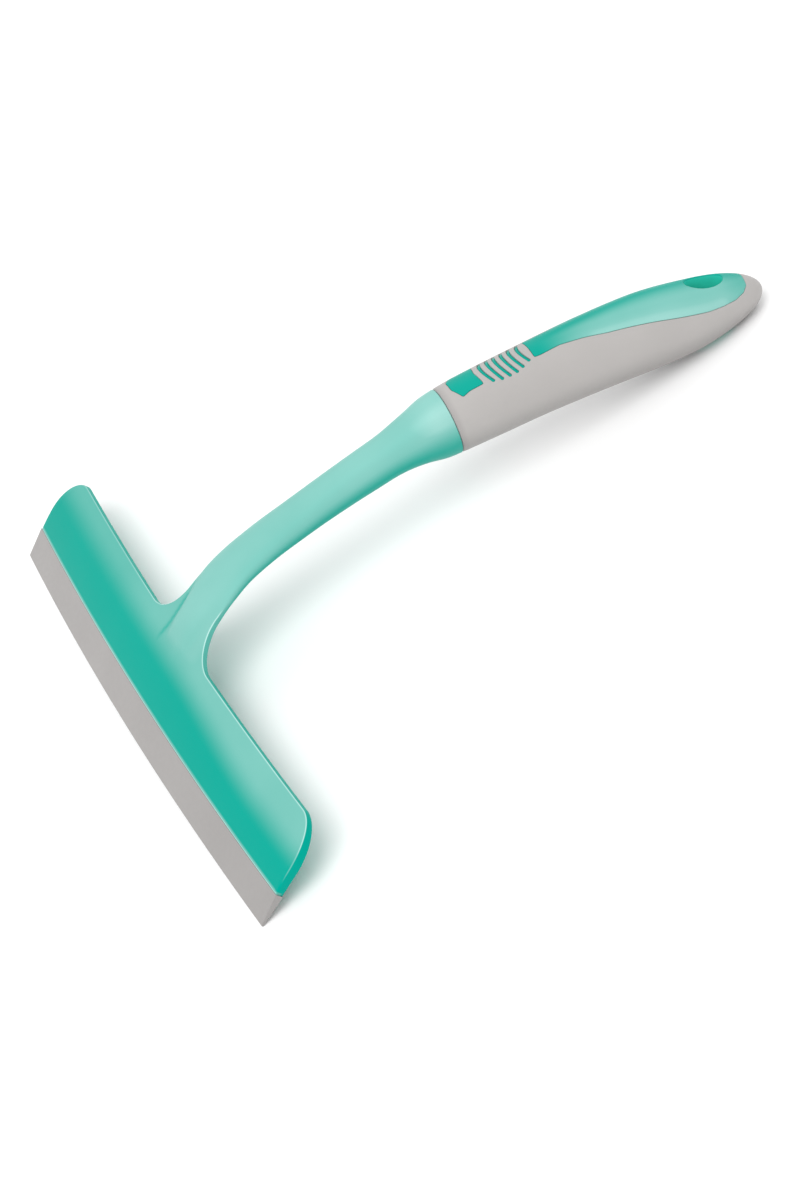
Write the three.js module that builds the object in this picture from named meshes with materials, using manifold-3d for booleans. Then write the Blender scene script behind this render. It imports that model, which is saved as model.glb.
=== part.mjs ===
// Window cleaning squeegee, in millimetres, +Z up.
// It lies as it does on a table: on the two ends of its blade and on the underside of the tail.
// +X runs along the blade and +Y from the blade to the tail. The shapes are drawn from the middle
// of the seam between plate and blade, and the whole group is then moved so that its origin is
// under the middle of the object, on the table.
import * as THREE from "three";
import { mergeVertices } from "three/addons/utils/BufferGeometryUtils.js";
import Module from "manifold-3d";

const wasm = await Module();
wasm.setup();

// Driving dimensions
const gap = 0.3; // kept between pieces that touch
const tilt = THREE.MathUtils.degToRad(27.7); // the head plate's slope above the table

const plate = {
  halfLength: 125,
  height: 27.2,
  thickness: 3,
  crown: 1.2, // the plate bulges outwards between seam and top edge
  bowOut: -3.5, // how far the ends lie behind the middle
  bowUp: 1.5, // how far the ends lie above the middle, in the plate's plane
  cornerLength: 13,
  cornerHeight: 18,
  filletLength: 15, // the curve from the top edge into the neck
  filletHeight: 16,
  neckHalf: 12,
  clear: 1, // no row of points nearer than this to the fillet's end
  stations: 32,
};
const tongue = {
  halfLength: 119,
  height: 4.6,
  thickness: 1,
  lean: 0.07, // it leans back with the blade's front face
  slots: 8,
  slotLength: 10,
  slotHeight: 2,
  root: 1, // it starts inside the plate
};
const blade = {
  halfLength: 125.6,
  height: 12.4,
  thickness: 3,
  edgeBack: 2.15, // the front face leans back by this much at the edge
  land: 0.8, // width of the flat wiping edge
  bendAt: 0.5, // share of the height where front and back change slope
  bendBack: 0.42, // share of edgeBack reached there
  stations: 25,
};

// The spine of neck and grip, as [y, z], and the half sizes of the section along it.
const spine = [
  [0, -1.5], [24, 11], [42, 20], [54, 24], [68, 26], [90, 27.4], [112, 27.6], [134, 27],
  [148, 25.3], [164, 22.6], [184, 18.8], [204, 14.4], [224, 9.2], [242, 3.6], [256, -0.1], [272, -4.8],
];
const halfHeights = [
  [10, 1.1], [24, 2.1], [42, 3], [54, 4], [66, 5], [82, 6.1], [98, 7.1], [112, 7.9],
  [124, 8.4], [134, 10.3], [141, 12.4], [148, 13.2], [162, 13.6], [180, 13.8], [200, 14.5], [220, 15],
  [260, 15],
];
const halfWidths = [
  [10, 8], [24, 10.5], [42, 11.3], [54, 10.8], [66, 10.2], [82, 9.2], [98, 8.4], [112, 8.1],
  [124, 8.6], [134, 10], [141, 10.9], [148, 11.3], [162, 12.2], [180, 12.8], [200, 13.1], [260, 13.1],
];
const tail = {
  tip: 271.7,
  heightFrom: 220, // where the height starts to close
  heightPower: 2.1,
  widthFrom: 215,
  widthPower: 2.6,
};
const seamY = 147; // where collar and grip meet
const seamToMiddle = 130.94; // from the blade's seam to the middle of the object
const seamAboveTable = 10.8;
const neckStations = [
  10, 17, 24, 30, 36, 42, 48, 54, 61, 68, 76, 84, 92, 100, 108, 116, 123, 129, 134, 138, 142, seamY,
];

const plug = {
  length: 26,
  halfWidth: 6.4,
  halfHeight: 7.6,
  root: 3, // it starts inside the collar
  beadAt: 18,
  beadHeight: 0.7,
  beadLength: 3,
  tipLength: 2,
  tipTaper: 1.2,
};
// the hollow behind the plug, as [y, change of the plug's half size]
const well = [[194, -0.4], [220, -1.4], [232, -3.6]];
const sleeve = {
  thickness: 2.4,
  bed: 0.9, // depth of the core's surface under the thumb ribs
};

const socketFloor = 1; // how far past the plug's tip the socket ends and the hollow starts
const edgeSlope = 1.3; // keeps the gap where an opening's edge runs at a slant

// How finely the curved shapes are cut into flat faces
const facets = { ring: 24, skin: 22, hollow: 18, panel: 12, bed: 4, patchArc: 10, fillet: 14, tongue: 12 };
const crowding = 0.9; // power that brings stations closer together towards the ends
const welded = 1e-4; // points nearer than this are one point
// How far before the tail's tip each surface closes
const tailEnds = { skin: 0.05, core: 3.4, hollow: 3.1 };
// How far the cutters and walls reach past what they cut or join
const reach = { through: 30, above: 2, below: 1, root: 0.6 };
const plateShares = [0, 0.1, 0.3, 0.5, 0.7, 0.9, 1]; // heights of the plate's rows, as shares of its height
const cornerShares = [0.55, 0.8, 0.93]; // extra rows where the top corners turn

// Openings of the sleeve: [y, half angle from the top in degrees]
const windowEdge = [[150.8, 13], [153.1, 35], [156.1, 30.5], [161.6, 29]];
const panelEdge = [
  [182.3, 26.5], [192, 25.5], [201, 32], [209, 40], [223, 50], [233, 57.5], [245, 65.5], [252, 67.5],
  [258, 66], [262, 57], [264.4, 40],
];
const ribs = {
  first: 164.9,
  pitch: 3.1,
  width: 1.1,
  halfAngles: [34, 37.5, 38.5, 38, 34.5, 29.5], // one for each slot
  bedInset: 2, // the bed under the slots is this many degrees narrower than the widest
  bedPast: 1, // and reaches this far past the first and last
};
const hole = { y: 250.4, halfLength: 7.4, halfWidth: 4.5, wall: 1.8, sides: 20 };

const tealPlastic = { color: 0x35c9b2, roughness: 0.3, metalness: 0 };
const greyRubber = { color: 0xb4aeac, roughness: 0.6, metalness: 0 };

// A smooth curve through [position, value] points.
function through(points, at) {
  let i = 0;
  while (i < points.length - 2 && at > points[i + 1][0]) i++;
  const slope = (j) => (points[j + 1][1] - points[j][1]) / (points[j + 1][0] - points[j][0]);
  const tangent = (j) => {
    if (j === 0) return slope(0);
    if (j === points.length - 1) return slope(j - 1);
    const before = points[j][0] - points[j - 1][0];
    const after = points[j + 1][0] - points[j][0];
    return (slope(j - 1) * after + slope(j) * before) / (before + after);
  };
  const span = points[i + 1][0] - points[i][0];
  const t = (at - points[i][0]) / span;
  const [t2, t3] = [t * t, t * t * t];
  return (
    (2 * t3 - 3 * t2 + 1) * points[i][1] +
    (t3 - 2 * t2 + t) * span * tangent(i) +
    (3 * t2 - 2 * t3) * points[i + 1][1] +
    (t3 - t2) * span * tangent(i + 1)
  );
}

// 1 up to `from`, then a round close to 0 at the tail's tip.
function closing(y, from, power) {
  const share = Math.min(Math.max((y - from) / (tail.tip - from), 0), 1);
  return Math.sqrt(1 - share ** power);
}

const widthAt = (y) => through(halfWidths, y) * closing(y, tail.widthFrom, tail.widthPower);

const spineRise = (y, step) => (through(spine, y + step) - through(spine, y - step)) / (2 * step);

// A point of the handle's surface: angle 0 is its top, offset is outwards.
function onHandle(y, angle, offset = 0) {
  const rise = spineRise(y, 0.05);
  const length = Math.hypot(1, rise);
  const height = through(halfHeights, y) * closing(y, tail.heightFrom, tail.heightPower) + offset;
  const width = widthAt(y) + offset;
  const up = height * Math.cos(angle);
  return [width * Math.sin(angle), y - (up * rise) / length, through(spine, y) + up / length];
}

// A point given in the plate's own directions: x along it, u up it, n outwards.
function onPlate(x, u, n) {
  const share = (x / plate.halfLength) ** 2;
  const up = u + plate.bowUp * share;
  const out = n + plate.bowOut * share;
  return [x, up * Math.cos(tilt) - out * Math.sin(tilt), up * Math.sin(tilt) + out * Math.cos(tilt)];
}

// A closed solid through rings of equally many points, with flat ends.
function loft(rings) {
  const sides = rings[0].length;
  const positions = [];
  const put = (...points) => points.forEach((point) => positions.push(...point));
  for (let r = 0; r < rings.length - 1; r++) {
    for (let k = 0; k < sides; k++) {
      const next = (k + 1) % sides;
      put(rings[r][k], rings[r][next], rings[r + 1][next]);
      put(rings[r][k], rings[r + 1][next], rings[r + 1][k]);
    }
  }
  for (const [ring, last] of [[rings[0], false], [rings.at(-1), true]]) {
    const outline = flatOutline(ring);
    for (const [a, b, c] of THREE.ShapeUtils.triangulateShape(outline, [])) {
      if (last) put(ring[a], ring[b], ring[c]);
      else put(ring[a], ring[c], ring[b]);
    }
  }
  const geometry = new THREE.BufferGeometry();
  geometry.setAttribute("position", new THREE.Float32BufferAttribute(positions, 3));
  return solidOf(geometry);
}

// A ring of points in space, drawn in its own plane.
function flatOutline(ring) {
  const points = ring.map((point) => new THREE.Vector3(...point));
  const normal = new THREE.Vector3();
  points.forEach((point, k) => {
    const next = points[(k + 1) % points.length];
    normal.add(new THREE.Vector3().crossVectors(point, next));
  });
  const turn = new THREE.Quaternion().setFromUnitVectors(normal.normalize(), new THREE.Vector3(0, 0, 1));
  return points.map((point) => {
    const turned = point.applyQuaternion(turn);
    return new THREE.Vector2(turned.x, turned.y);
  });
}

function solidOf(geometry) {
  geometry.deleteAttribute("normal");
  geometry.deleteAttribute("uv");
  const merged = mergeVertices(geometry, welded);
  const mesh = new wasm.Mesh({
    numProp: 3,
    vertProperties: merged.attributes.position.array,
    triVerts: new Uint32Array(merged.index.array),
  });
  const made = new wasm.Manifold(mesh);
  if (made.volume() > 0) return made;
  mesh.triVerts = mesh.triVerts.reverse();
  return new wasm.Manifold(mesh);
}

const steps = (from, to, count) =>
  Array.from({ length: count + 1 }, (_, i) => from + ((to - from) * i) / count);

// Stations from the seam to the tip that crowd together where the tail closes.
function tailStations(from, count, inset) {
  const length = tail.tip - inset - from;
  return steps(0, 1, count).map((share) => from + length * Math.sin((share * Math.PI) / 2) ** crowding);
}

function ringAt(y, offset) {
  return steps(0, 2 * Math.PI, facets.ring).slice(0, -1).map((angle) => onHandle(y, angle, offset));
}

const tube = (stations, offset) => loft(stations.map((y) => ringAt(y, offset)));

// A patch of wall on top of the handle, between two offsets, as wide as its edge says.
function patch(edge, [low, high], grow = 0, count = 1) {
  const [first, last] = [edge[0][0] - grow, edge.at(-1)[0] + grow];
  const between = steps(first, last, count);
  const corners = edge.map(([y]) => y).filter((y) => y > first && y < last);
  const stations = [...new Set([...between, ...corners])].sort((a, b) => a - b);
  return loft(
    stations.map((y) => {
      const widest = Math.max(...[y - grow, y, y + grow].map((at) => along(edge, at)));
      const half = THREE.MathUtils.degToRad(widest) + (edgeSlope * grow) / widthAt(y);
      const angles = steps(-half, half, facets.patchArc);
      return [
        ...angles.map((angle) => onHandle(y, angle, high)),
        ...angles.reverse().map((angle) => onHandle(y, angle, low)),
      ];
    }),
  );
}

// Straight lines between [position, value] points, level past both ends.
function along(points, at) {
  if (at <= points[0][0]) return points[0][1];
  if (at >= points.at(-1)[0]) return points.at(-1)[1];
  const i = Math.max(0, points.findIndex(([position]) => position >= at) - 1);
  const [[a, va], [b, vb]] = [points[i], points[i + 1]];
  return va + ((vb - va) * (at - a)) / (b - a);
}

// An upright oval cutter or boss through the tail, square to the spine.
function holePrism(grow, below, above) {
  const lean = Math.atan(spineRise(hole.y, 1));
  const middle = [hole.y, through(spine, hole.y)];
  const ring = (height) =>
    steps(0, 2 * Math.PI, hole.sides).slice(0, -1).map((angle) => {
      const [x, s] = [(hole.halfWidth + grow) * Math.sin(angle), (hole.halfLength + grow) * Math.cos(angle)];
      return [
        x,
        middle[0] + s * Math.cos(lean) - height * Math.sin(lean),
        middle[1] + s * Math.sin(lean) + height * Math.cos(lean),
      ];
    });
  return loft([ring(-below), ring(above)]);
}

// Height of the head's outline above the seam.
function topOf(x) {
  const side = Math.abs(x);
  const past = Math.max(0, (side - plate.halfLength + plate.cornerLength) / plate.cornerLength);
  const inside = Math.min(1, Math.max(0, (plate.neckHalf + plate.filletLength - side) / plate.filletLength));
  const corner = plate.cornerHeight * (1 - Math.sqrt(1 - Math.min(past, 1) ** 2));
  const fillet = plate.filletHeight * (1 - Math.sqrt(1 - inside ** 2));
  return plate.height - corner + fillet;
}

function makePlate() {
  const spread = (share) => plate.halfLength * Math.sign(share) * Math.abs(share) ** crowding;
  const stations = steps(-1, 1, plate.stations).map(spread);
  const filletEnd = plate.neckHalf + plate.filletLength;
  const near = steps(-filletEnd, filletEnd, facets.fillet);
  const far = stations.filter((x) => Math.abs(x) > filletEnd + plate.clear);
  const corners = [-1, 1].flatMap((side) => cornerShares.map((share) =>
    side * (plate.halfLength - plate.cornerLength * (1 - share))));
  const xs = [...far, ...near, ...corners].sort((a, b) => a - b);
  const bulge = (u) => plate.crown * Math.max(0, 4 * (u / plate.height) * (1 - u / plate.height));
  return loft(
    xs.map((x) => {
      const top = topOf(x);
      const us = plateShares.map((share) => share * top);
      return [
        ...us.map((u) => onPlate(x, u, bulge(u))),
        ...us.reverse().map((u) => onPlate(x, u, bulge(u) - plate.thickness)),
      ];
    }),
  );
}

// The tongue under the plate, or its cutter when it is grown; slots are left where the blade runs through.
function makeTongue(grow) {
  const middle = (u) => -plate.thickness / 2 + tongue.lean * Math.min(u, 0);
  const half = tongue.thickness / 2 + grow;
  const block = (from, to, low, high, thick, count) =>
    loft(
      steps(from, to, count).map((x) => [
        onPlate(x, low, middle(low) - thick),
        onPlate(x, high, middle(high) - thick),
        onPlate(x, high, middle(high) + thick),
        onPlate(x, low, middle(low) + thick),
      ]),
    );
  const end = tongue.halfLength + grow;
  let made = block(-end, end, -tongue.height - grow, tongue.root, half, facets.tongue);
  const pitch = (2 * tongue.halfLength) / tongue.slots;
  for (let i = 0; i < tongue.slots; i++) {
    const x = -tongue.halfLength + pitch * (i + 0.5);
    const long = tongue.slotLength / 2 - grow;
    const centre = -tongue.height / 2;
    const tall = tongue.slotHeight / 2 - grow;
    made = made.subtract(block(x - long, x + long, centre - tall, centre + tall, 2 * tongue.thickness, 1));
  }
  return made;
}

function makeHead() {
  return makePlate().add(makeTongue(0)).add(tube(neckStations, 0)).add(makePlug());
}

// The plug behind the collar, with its snap bead.
function plugRing(y, grow) {
  const sides = steps(0, 2 * Math.PI, facets.ring).slice(0, -1);
  const rise = spineRise(y, 1);
  const length = Math.hypot(1, rise);
  return sides.map((angle) => {
    const up = (plug.halfHeight + grow) * Math.cos(angle);
    const x = (plug.halfWidth + grow) * Math.sin(angle);
    return [x, y - (up * rise) / length, through(spine, y) + up / length];
  });
}

function plugStations(grow) {
  const bead = seamY + plug.beadAt;
  const half = plug.beadLength / 2;
  return [
    [seamY - plug.root, grow],
    [bead - half, grow],
    [bead, grow + plug.beadHeight],
    [bead + half, grow],
  ];
}

function makePlug() {
  const end = seamY + plug.length;
  const stations = [...plugStations(0), [end - plug.tipLength, 0], [end, -plug.tipTaper]];
  return loft(stations.map(([y, grow]) => plugRing(y, grow)));
}

// The core's hollow: a socket that fits the plug, then a tapering well.
function makeSocket() {
  const stations = [...plugStations(gap), [seamY + plug.length + socketFloor, gap], ...well];
  return loft(stations.map(([y, grow]) => plugRing(y, grow)));
}

function makeBlade() {
  const xs = steps(-blade.halfLength, blade.halfLength, blade.stations);
  const back = -blade.thickness;
  const body = loft(
    xs.map((x) => [
      onPlate(x, -gap, 0),
      onPlate(x, -blade.height * blade.bendAt, -blade.edgeBack * blade.bendBack),
      onPlate(x, -blade.height, -blade.edgeBack),
      onPlate(x, -blade.height, -blade.edgeBack - blade.land),
      onPlate(x, -blade.height * blade.bendAt, back),
      onPlate(x, -gap, back),
    ]),
  );
  return body.subtract(makeTongue(gap));
}

const ribEdge = () => {
  const half = Math.max(...ribs.halfAngles) - ribs.bedInset;
  const last = ribs.first + ribs.pitch * (ribs.halfAngles.length - 1);
  return [[ribs.first - ribs.bedPast, half], [last + ribs.bedPast, half]];
};

function makeCore() {
  const inset = -sleeve.thickness;
  const wall = [inset - reach.root, 0];
  const outside = tube(tailStations(seamY + gap, facets.skin, tailEnds.skin), 0);
  const inner = tube(tailStations(seamY + gap, facets.hollow, tailEnds.core), inset);
  const boss = holePrism(hole.wall, reach.through, reach.through).intersect(outside);
  return inner
    .add(patch(panelEdge, wall, 0, facets.panel))
    .add(patch(windowEdge, wall, 0, facets.bed))
    .add(patch(ribEdge(), [inset - reach.root, -sleeve.bed], 0, facets.bed))
    .add(boss)
    .subtract(makeSocket())
    .subtract(holePrism(0, reach.through, reach.through));
}

function makeSleeve() {
  const hollow = gap - sleeve.thickness;
  const cut = [hollow - reach.below, reach.above];
  const hollowStations = tailStations(seamY + gap, facets.hollow, tailEnds.hollow);
  let made = tube(tailStations(seamY + gap, facets.skin, tailEnds.skin), 0)
    .subtract(tube([seamY - reach.above, ...hollowStations], hollow))
    .subtract(patch(panelEdge, cut, gap, facets.panel))
    .subtract(patch(windowEdge, cut, gap, facets.bed))
    .subtract(patch(ribEdge(), [hollow - reach.below, gap - sleeve.bed], gap, facets.bed))
    .subtract(holePrism(hole.wall + gap, reach.through, reach.through));
  ribs.halfAngles.forEach((half, i) => {
    const y = ribs.first + ribs.pitch * i;
    const edge = [[y - ribs.width / 2, half], [y + ribs.width / 2, half]];
    made = made.subtract(patch(edge, [-sleeve.bed, reach.above]));
  });
  return made;
}

function piece(name, solid, look) {
  const mesh = solid.getMesh();
  const geometry = new THREE.BufferGeometry();
  geometry.setAttribute("position", new THREE.BufferAttribute(new Float32Array(mesh.vertProperties), 3));
  geometry.setIndex(new THREE.BufferAttribute(new Uint32Array(mesh.triVerts), 1));
  geometry.computeVertexNormals();
  const material = new THREE.MeshStandardMaterial(look);
  const made = new THREE.Mesh(geometry, material);
  made.name = name;
  return made;
}

const squeegee = new THREE.Group();
squeegee.add(
  piece("head_and_neck", makeHead(), tealPlastic),
  piece("wiper_blade", makeBlade(), greyRubber),
  piece("handle_core", makeCore(), tealPlastic),
  piece("grip_sleeve", makeSleeve(), greyRubber),
);

squeegee.position.set(0, -seamToMiddle, seamAboveTable);

export default squeegee;
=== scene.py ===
import math

import bmesh
import bpy
import numpy as np
from mathutils import Matrix, Vector
from mathutils.geometry import delaunay_2d_cdt
from mathutils.kdtree import KDTree


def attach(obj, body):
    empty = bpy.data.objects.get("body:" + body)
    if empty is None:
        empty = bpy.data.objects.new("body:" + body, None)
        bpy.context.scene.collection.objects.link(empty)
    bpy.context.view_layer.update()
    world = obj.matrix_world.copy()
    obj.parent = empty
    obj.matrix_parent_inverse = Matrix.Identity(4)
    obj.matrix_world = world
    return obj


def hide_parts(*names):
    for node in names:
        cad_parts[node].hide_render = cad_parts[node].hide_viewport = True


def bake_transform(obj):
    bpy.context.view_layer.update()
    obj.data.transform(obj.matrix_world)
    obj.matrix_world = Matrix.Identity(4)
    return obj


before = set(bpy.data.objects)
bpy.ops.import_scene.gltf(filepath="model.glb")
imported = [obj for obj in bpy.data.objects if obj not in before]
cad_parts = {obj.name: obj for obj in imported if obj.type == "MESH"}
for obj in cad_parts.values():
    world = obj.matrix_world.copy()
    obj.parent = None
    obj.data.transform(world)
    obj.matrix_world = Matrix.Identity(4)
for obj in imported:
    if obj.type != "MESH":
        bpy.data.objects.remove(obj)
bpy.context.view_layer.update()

mm = 0.001
tiny = 1e-3  # keeps a division by a vanishing size finite
hair = 1e-6  # two places nearer than this are the same
edgeSteps = 5  # points round each small rounded edge
place = np.array([0.0, -130.94, 10.8])  # from the middle of the blade's seam to the object's own origin
tilt = math.radians(27.7)  # slope of the head plate above the table


def through(points, at):
    # a smooth curve through (position, value) points
    known = np.asarray(points, float)
    pos, val = known[:, 0], known[:, 1]
    at = np.asarray(at, float)
    gaps = np.diff(pos)
    slopes = np.diff(val) / gaps
    tangents = np.empty(len(pos))
    tangents[1:-1] = (slopes[:-1] * gaps[1:] + slopes[1:] * gaps[:-1]) / (gaps[1:] + gaps[:-1])
    tangents[0], tangents[-1] = slopes[0], slopes[-1]
    i = np.clip(np.searchsorted(pos, at) - 1, 0, len(pos) - 2)
    span = gaps[i]
    t = (at - pos[i]) / span
    return ((2 * t**3 - 3 * t**2 + 1) * val[i] + (t**3 - 2 * t**2 + t) * span * tangents[i]
            + (3 * t**2 - 2 * t**3) * val[i + 1] + (t**3 - t**2) * span * tangents[i + 1])


def smoothStep(low, high, at):
    t = np.clip((np.asarray(at, float) - low) / (high - low), 0, 1)
    return t * t * (3 - 2 * t)


def quarter(steps):
    # a quarter circle's turns, in radians
    return np.linspace(0, math.pi / 2, steps)


def insidePolygon(points, polygon):
    # even-odd test of many points against one closed polygon
    x, y = points[:, 0], points[:, 1]
    inside = np.zeros(len(points), bool)
    for (x0, y0), (x1, y1) in zip(polygon, np.roll(polygon, -1, axis=0)):
        if y0 == y1:
            continue
        crossing = (y0 > y) != (y1 > y)
        inside ^= crossing & (x < (x1 - x0) * (y - y0) / (y1 - y0) + x0)
    return inside


def outward(loop):
    # unit normals of a closed loop, pointing out of it whichever way it runs
    ahead, behind = np.roll(loop, -1, axis=0), np.roll(loop, 1, axis=0)
    along = ahead - behind
    area = np.sum(loop[:, 0] * ahead[:, 1] - ahead[:, 0] * loop[:, 1])
    normal = np.stack([along[:, 1], -along[:, 0]], 1) * np.sign(area)
    return normal / np.linalg.norm(normal, axis=1, keepdims=True)


def evenly(loop, spacing):
    # a closed loop's points at even distances
    closed = np.vstack([loop, loop[:1]])
    steps = np.r_[0, np.cumsum(np.linalg.norm(np.diff(closed, axis=0), axis=1))]
    count = max(12, int(round(steps[-1] / spacing)))
    at = np.linspace(0, steps[-1], count, endpoint=False)
    return np.stack([np.interp(at, steps, closed[:, 0]), np.interp(at, steps, closed[:, 1])], 1)


def softened(loop, reach, spacing):
    # a closed loop with its corners rounded by averaging over a short length
    fine = evenly(loop, spacing / 4)
    half = max(1, int(round(reach / (spacing / 4))))
    for _ in range(2):
        summed = sum(np.roll(fine, k, axis=0) for k in range(-half, half + 1))
        fine = summed / (2 * half + 1)
    return evenly(fine, spacing)


def regionsOf(triangles, fixed):
    # numbers the regions that the fixed edges cut a flat net of triangles into
    walls = {frozenset(edge) for edge in fixed}
    beside = {}
    for t, corners in enumerate(triangles.tolist()):
        for i in range(3):
            edge = frozenset((corners[i], corners[i - 1]))
            if edge not in walls:
                beside.setdefault(edge, []).append(t)
    neighbours = [[] for _ in triangles]
    for pair in beside.values():
        if len(pair) == 2:
            neighbours[pair[0]].append(pair[1])
            neighbours[pair[1]].append(pair[0])
    region = np.full(len(triangles), -1)
    count = 0
    for first in range(len(triangles)):
        if region[first] >= 0:
            continue
        region[first] = count
        waiting = [first]
        while waiting:
            for t in neighbours[waiting.pop()]:
                if region[t] < 0:
                    region[t] = count
                    waiting.append(t)
        count += 1
    return region


def fillFlat(outer, holes, free, margin):
    # triangles between an outer loop and the holes, with free points where there is room
    loops = [outer] + holes
    onLoops = np.vstack(loops)
    tree = KDTree(len(onLoops))
    for k, (x, y) in enumerate(onLoops):
        tree.insert((x, y, 0), k)
    tree.balance()
    keep = insidePolygon(free, outer)
    for gap in holes:
        keep &= ~insidePolygon(free, gap)
    inner = [p for p in free[keep] if tree.find((p[0], p[1], 0))[2] > margin]
    points = np.vstack([onLoops] + ([np.array(inner)] if inner else []))
    edges, start = [], 0
    for loop in loops:
        n = len(loop)
        edges += [(start + i, start + (i + 1) % n) for i in range(n)]
        start += n
    made = delaunay_2d_cdt([Vector(p) for p in points], edges, [], 0, 1e-7)
    tri = np.array([f for f in made[2] if len(f) == 3])
    where = np.array([list(v) for v in made[0]])
    if len(where) != len(points):
        raise RuntimeError(f"fillFlat: {len(points)} points became {len(where)}")
    # a region is kept or dropped as a whole, judged by its largest triangle
    region = regionsOf(tri, edges)
    a, b, c = where[tri[:, 0]], where[tri[:, 1]], where[tri[:, 2]]
    area = np.abs((b[:, 0] - a[:, 0]) * (c[:, 1] - a[:, 1]) - (b[:, 1] - a[:, 1]) * (c[:, 0] - a[:, 0]))
    largest = []
    for k in range(region.max() + 1):
        members = np.flatnonzero(region == k)
        largest.append(members[np.argmax(area[members])])
    centre = where[tri[largest]].mean(axis=1)
    wanted = insidePolygon(centre, outer)
    for gap in holes:
        wanted &= ~insidePolygon(centre, gap)
    return where, tri[wanted[region]]


def finishMesh(mesh, name, merge, slivers=0.0):
    # joins doubled points, drops slivers, turns the faces outwards and puts the piece in the scene
    work = bmesh.new()
    work.from_mesh(mesh)
    bmesh.ops.remove_doubles(work, verts=work.verts, dist=merge * mm)
    if slivers:
        bmesh.ops.dissolve_degenerate(work, edges=work.edges, dist=slivers * mm)
    bmesh.ops.recalc_face_normals(work, faces=work.faces)
    for face in work.faces:
        face.smooth = True
    loose = [edge for edge in work.edges if len(edge.link_faces) != 2]
    volume = work.calc_volume() * 1e6
    print(f"  {name}: {len(work.faces)} faces, {len(loose)} open edges, volume {volume:.2f} cm3")
    work.to_mesh(mesh)
    work.free()
    piece = bpy.data.objects.new(name, mesh)
    bpy.context.scene.collection.objects.link(piece)
    return piece


class Shell:
    # collects a piece's points in space and its faces
    def __init__(self):
        self.points = []
        self.faces = []
        self.count = 0

    def add(self, where):
        first = self.count
        self.points.append(np.asarray(where, float))
        self.count += len(where)
        return first

    def strip(self, first, second, count, closed=True):
        # quads between two rows of equally many points
        for i in range(count if closed else count - 1):
            j = (i + 1) % count
            self.faces.append((first + i, first + j, second + j, second + i))

    def fan(self, first, count, middle):
        centre = self.add([middle])
        for i in range(count):
            self.faces.append((first + i, first + (i + 1) % count, centre))

    def fill(self, first, triangles):
        for t in triangles:
            self.faces.append(tuple(int(v) + first for v in t))

    def chain(self, rows, count, closed=True):
        # strips between each row and the next
        for first, second in zip(rows[:-1], rows[1:]):
            self.strip(first, second, count, closed)

    def finish(self, name):
        where = np.vstack(self.points)
        mesh = bpy.data.meshes.new(name)
        mesh.from_pydata(((where + place) * mm).tolist(), [], self.faces)
        return finishMesh(mesh, name, merge=0.003, slivers=0.0009)


# the rule that the neck, the core and the grip all follow: an oval section along a curved middle line
handle = {
    "spine": [(-6, -4.85), (8, 2.5), (22, 9.85), (34, 16.15), (44, 20.9), (54, 24.5), (66, 26.4), (82, 27.3),
              (98, 27.7), (112, 27.7), (134, 27), (148, 25.3), (164, 22.6), (184, 18.8), (204, 14.4),
              (224, 9.2), (242, 3.6), (256, -0.1), (272, -4.8)],
    "halfHeights": [(30, 2.8), (42, 3.5), (54, 4.4), (66, 5.2), (82, 6.1), (98, 7.1), (112, 7.9), (124, 8.4),
                    (134, 10.3), (141, 12.4), (148, 13.2), (162, 13.6), (180, 13.8), (200, 14.5), (220, 15),
                    (260, 15)],
    "halfWidths": [(30, 13.2), (42, 12.4), (54, 11.2), (66, 10.2), (82, 9.2), (98, 8.4), (112, 8.1),
                   (124, 8.6), (134, 10), (141, 10.9), (148, 11.3), (162, 12.2), (180, 12.8), (200, 13.1),
                   (260, 13.1)],
    "tip": 271.7,
    "heightClosesFrom": 220,
    "heightPower": 2.1,
    "widthClosesFrom": 215,
    "widthPower": 2.6,
    "aroundRadius": 12.6,  # turns an angle round the handle into a length
    "seam": 147.0,  # where the neck's collar meets the grip
    "ovalFrom": 30,  # the widths and heights start here
    "slopeStep": 0.05,
}


def closing(y, start, power):
    share = np.clip((np.asarray(y, float) - start) / (handle["tip"] - start), 0, 1)
    return np.sqrt(1 - share**power)


def halfHeight(y):
    return through(handle["halfHeights"], y) * closing(y, handle["heightClosesFrom"], handle["heightPower"])


def halfWidth(y):
    return through(handle["halfWidths"], y) * closing(y, handle["widthClosesFrom"], handle["widthPower"])


def spineAt(y):
    return through(handle["spine"], y)


def spineRise(y):
    step = handle["slopeStep"]
    return (spineAt(y + step) - spineAt(y - step)) / (2 * step)


def onSection(y, x, up):
    # a point of the cross-section at y: x across, up along the section's own height
    rise = spineRise(y)
    length = np.hypot(1, rise)
    return np.stack([x + 0 * y, y - up * rise / length, spineAt(y) + up / length], -1)


def onSpine(y):
    # a single point of the middle line
    return onSection(np.array([y]), np.zeros(1), np.zeros(1))[0]


def onOval(y, angle):
    # angle 0 is the top
    return onSection(y, halfWidth(y) * np.sin(angle), halfHeight(y) * np.cos(angle))


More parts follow.
